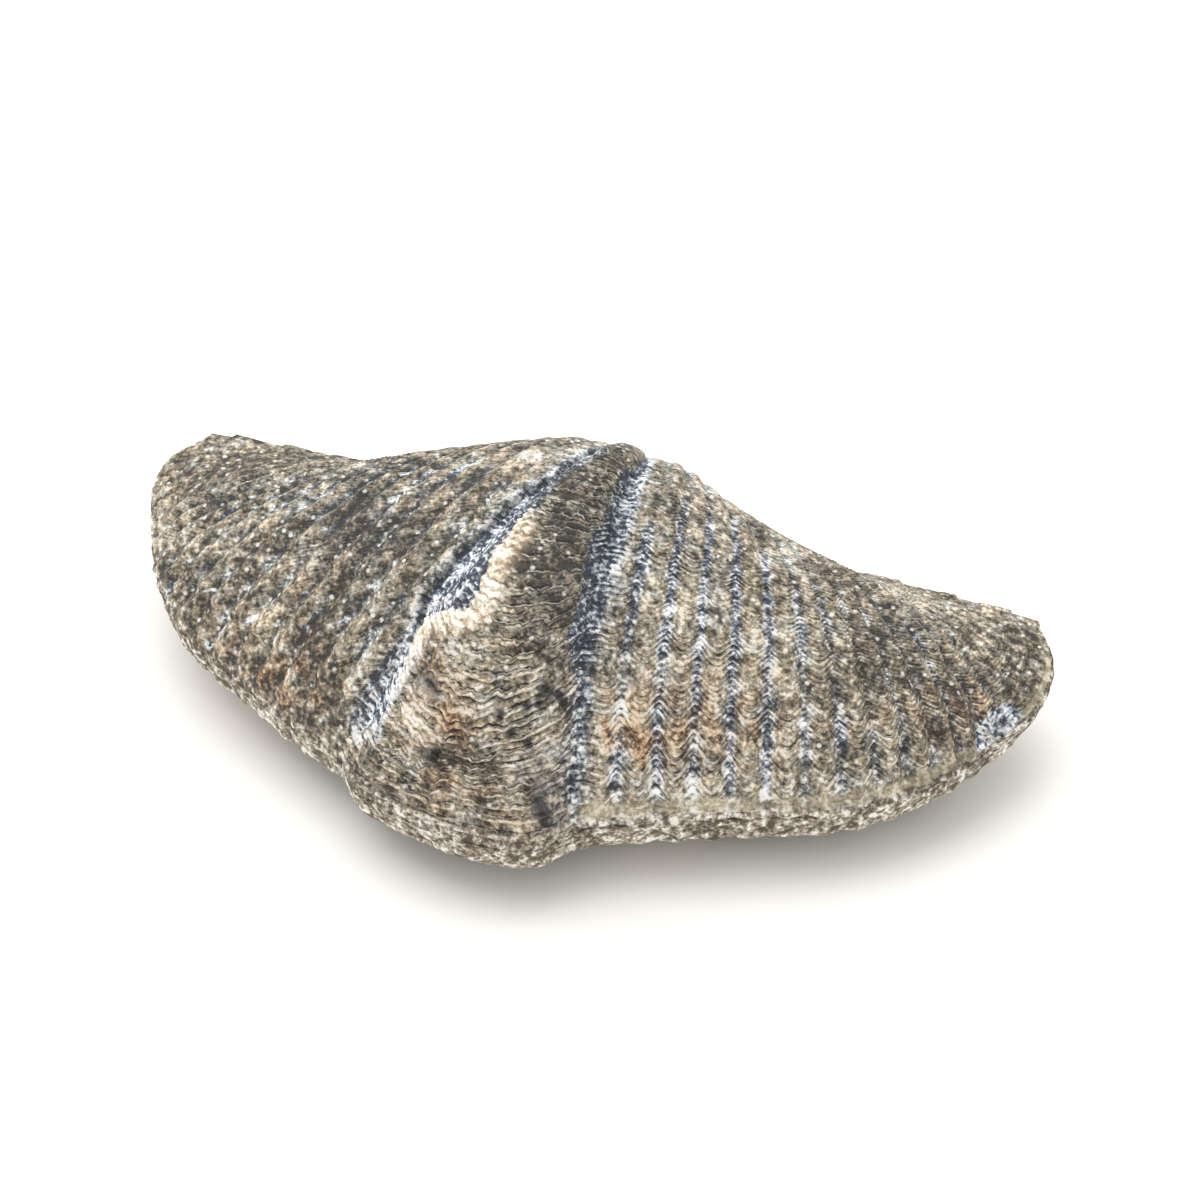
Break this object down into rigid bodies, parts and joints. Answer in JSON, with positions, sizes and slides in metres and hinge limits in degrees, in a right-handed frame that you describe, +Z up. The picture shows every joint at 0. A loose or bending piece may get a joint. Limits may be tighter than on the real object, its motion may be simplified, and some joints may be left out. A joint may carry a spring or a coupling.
{
  "type": "brachiopod fossil",
  "caption": "Winged, ribbed spirifer fossil: two closed valves turned to stone, with a smooth median fold, a straight wide hinge line and a worn flat underside that it lies on.",
  "frame": {"origin": "middle of the bounding box in plan, at the level of the surface that the fossil lies on", "axes": "+X along the straight hinge line, toward the wing with the chip; -Y toward the front margin, where the fold juts out; +Z up, from the lower valve to the upper one"},
  "size_m": [0.0492, 0.0264, 0.0162],
  "materials": {
    "fossil_stone": "dull, fine-grained grey-brown calcite shell with a rough crusted rim"
  },
  "bodies": {
    "root": {"brachiopod_fossil": "fossil_stone"}
  },
  "joints": []
}
